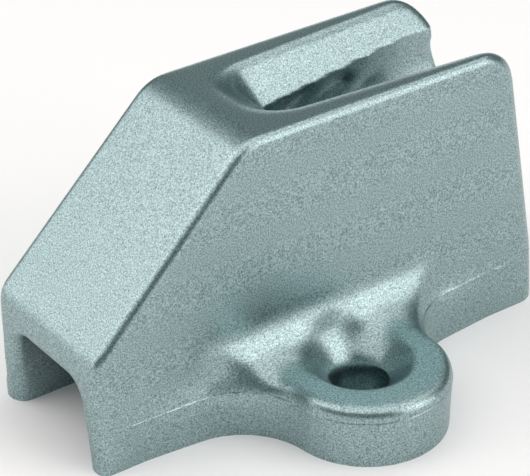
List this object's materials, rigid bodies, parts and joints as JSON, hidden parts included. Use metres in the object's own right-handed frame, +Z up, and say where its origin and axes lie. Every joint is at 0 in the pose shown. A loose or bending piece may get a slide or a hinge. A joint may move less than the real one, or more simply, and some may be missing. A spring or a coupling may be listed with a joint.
{
  "type": "jam cleat",
  "caption": "Cast aluminium jam cleat with a low rope tunnel under a sloping nose, toothed vee jaws open at the top and rear, and a side lug with a countersunk screw hole on each flank.",
  "frame": {"origin": "midway between the two screw axes, on the flat base", "axes": "+X runs aft, from the tunnel mouth to the open end of the rope slot; +Y to one side, across the two screws; +Z up, along the screws"},
  "size_m": [0.0511, 0.0446, 0.028],
  "materials": {
    "anodised_casting": "bead-blasted, hard-anodised casting"
  },
  "bodies": {
    "root": {"cleat_body": "anodised_casting"}
  },
  "joints": []
}
